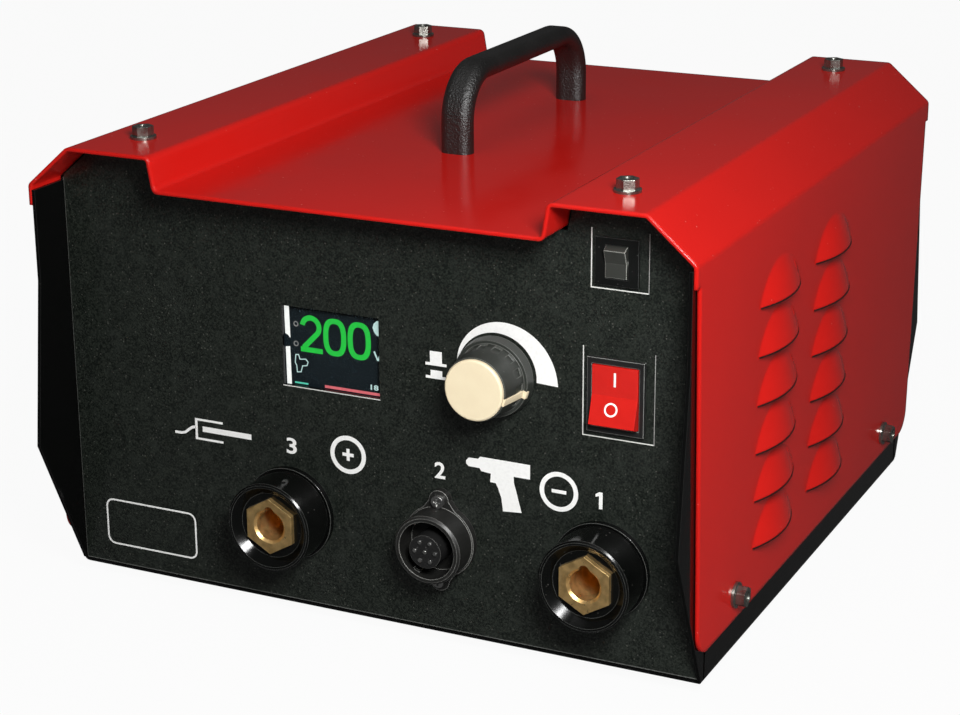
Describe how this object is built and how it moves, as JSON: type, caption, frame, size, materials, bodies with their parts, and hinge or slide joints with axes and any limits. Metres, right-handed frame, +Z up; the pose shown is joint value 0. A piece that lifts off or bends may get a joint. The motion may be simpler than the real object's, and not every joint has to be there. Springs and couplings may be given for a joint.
{
  "type": "stud welder",
  "caption": "Capacitor-discharge stud welder power source: folded steel case with bow handle, weld and control sockets, display, press-and-turn knob, rocker switch and breaker.",
  "frame": {"origin": "under the middle of the case, on the surface its feet stand on", "axes": "+X to the right seen from the front, +Y to the rear, +Z up; the front panel faces -Y"},
  "size_m": [0.3162, 0.3386, 0.232],
  "materials": {
    "case_black": "textured black powder coat",
    "cover_red": "glossy red paint",
    "bolt_steel": "dark plated steel",
    "zinc": "zinc-plated steel",
    "handle_black": "satin black",
    "rubber": "black rubber",
    "clear": "clear acrylic",
    "screen": "dark display glass",
    "board": "green circuit board",
    "brass": "machined brass",
    "copper": "plain copper bar",
    "knob_grey": "dark grey grip",
    "cap_cream": "cream cap",
    "rocker_red": "bright red paddle",
    "gloss_black": "glossy black moulding",
    "matt_black": "matt black moulding",
    "insulator": "insulating board",
    "can_blue": "sleeved aluminium can",
    "aluminium": "extruded aluminium",
    "core": "varnished core plates",
    "coil": "taped winding",
    "resistor": "gold anodised housing"
  },
  "bodies": {
    "case": {"chassis": "case_black", "cover": "cover_red", "cover_bolts": "bolt_steel", "cover_nuts": "zinc", "handle": "handle_black", "handle_screws": "zinc", "feet": "rubber", "foot_screws": "zinc", "foot_nuts": "zinc", "display_pane": "clear", "display_module": "screen", "control_board": "board", "board_spacers": "brass", "board_screws": "zinc", "encoder": "zinc", "bush_nut": "zinc", "switch_housing": "matt_black", "switch_terminals": "brass", "breaker_housing": "matt_black", "socket_neg": "gloss_black", "contact_neg": "brass", "socket_pos": "gloss_black", "contact_pos": "brass", "socket_washers": "matt_black", "socket_nuts": "brass", "stud_nuts": "brass", "control_socket": "matt_black", "control_insert": "matt_black", "control_pins": "zinc", "control_screws": "zinc", "control_nuts": "zinc", "mains_inlet": "matt_black", "inlet_blades": "zinc", "inlet_screws": "zinc", "fan_frame": "matt_black", "fan_guard": "zinc", "fan_screws": "zinc", "capacitor_base": "insulator", "capacitors": "can_blue", "bus_plus": "copper", "bus_minus": "copper", "bus_screws": "zinc", "plus_strap": "copper", "minus_strap": "copper", "trafo_core": "core", "trafo_coil": "coil", "trafo_feet": "zinc", "heat_sink": "aluminium", "thyristor": "matt_black", "power_board": "board", "board_pillars": "zinc", "charge_resistor": "resistor", "earth_stud": "brass"},
    "encoder_rotor": {"encoder_rotor": "insulator"},
    "knob": {"knob_shaft": "zinc", "knob_body": "knob_grey", "knob_cap": "cap_cream"},
    "power_paddle": {"switch_paddle": "rocker_red"},
    "breaker_paddle_body": {"breaker_paddle": "matt_black"},
    "fan_rotor_body": {"fan_rotor": "matt_black"}
  },
  "joints": [
    {"name": "knob_turn", "type": "hinge", "parent": "case", "child": "encoder_rotor", "pos_m": [0.0593, -0.1396, 0.127], "axis": [0, 1, 0], "continuous": true},
    {"name": "knob_press", "type": "slide", "parent": "encoder_rotor", "child": "knob", "axis": [0, 1, 0], "range_m": [0, 0.001], "stiffness_N_per_m": 2000, "springref_m": -0.0005},
    {"name": "power_switch", "type": "hinge", "parent": "case", "child": "power_paddle", "pos_m": [0.1121, -0.1396, 0.1256], "axis": [1, 0, 0], "range_deg": [0, 18]},
    {"name": "breaker_switch", "type": "hinge", "parent": "case", "child": "breaker_paddle_body", "pos_m": [0.1117, -0.1396, 0.1809], "axis": [1, 0, 0], "range_deg": [-20, 0]},
    {"name": "fan_spin", "type": "hinge", "parent": "case", "child": "fan_rotor_body", "pos_m": [0.078, 0.125, 0.134], "axis": [0, 1, 0], "continuous": true}
  ]
}
